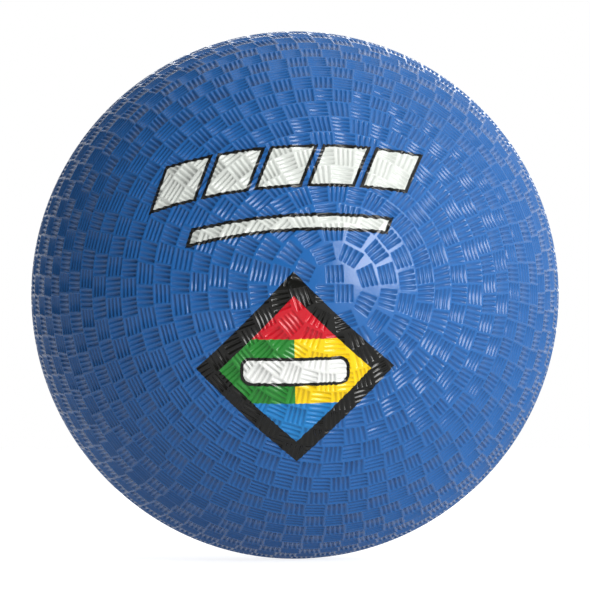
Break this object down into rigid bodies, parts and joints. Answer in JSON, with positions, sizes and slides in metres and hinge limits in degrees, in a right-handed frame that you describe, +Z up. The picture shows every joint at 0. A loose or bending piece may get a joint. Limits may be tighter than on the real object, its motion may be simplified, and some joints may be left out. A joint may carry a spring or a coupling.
{
  "type": "playground rubber ball",
  "caption": "Round inflatable rubber playground ball with a wound bladder, a moulded basket-weave grip cover, a needle valve and printed colour markings.",
  "frame": {"origin": "centre of the ball", "axes": "+Y along the valve axis, out of the needle bore; -Y towards the printed markings; +Z up, the way the markings read"},
  "size_m": [0.216, 0.2159, 0.216],
  "materials": {
    "cover_rubber": "satin",
    "winding_nylon": "satin",
    "bladder_rubber": "satin",
    "patch_rubber": "matte",
    "valve_rubber": "satin",
    "core_rubber": "satin",
    "ink_black": "satin",
    "ink_white": "satin",
    "ink_grey": "satin",
    "ink_red": "satin",
    "ink_green": "satin",
    "ink_yellow": "satin",
    "ink_blue": "satin"
  },
  "bodies": {
    "root": {"cover": "cover_rubber", "nylon_winding": "winding_nylon", "bladder": "bladder_rubber", "valve_patch": "patch_rubber", "valve_housing": "valve_rubber", "valve_core": "core_rubber", "diamond_border": "ink_black", "diamond_red_field": "ink_red", "diamond_green_field": "ink_green", "diamond_yellow_field": "ink_yellow", "diamond_blue_field": "ink_blue", "diamond_bar_outline": "ink_black", "diamond_bar": "ink_white", "title_block_1": "ink_grey", "title_block_2": "ink_grey", "title_block_3": "ink_grey", "title_block_4": "ink_grey", "title_block_5": "ink_grey", "title_outline_1": "ink_black", "title_outline_2": "ink_black", "title_outline_3": "ink_black", "title_outline_4": "ink_black", "title_outline_5": "ink_black", "title_stripe": "ink_grey", "title_stripe_outline": "ink_black"}
  },
  "joints": []
}
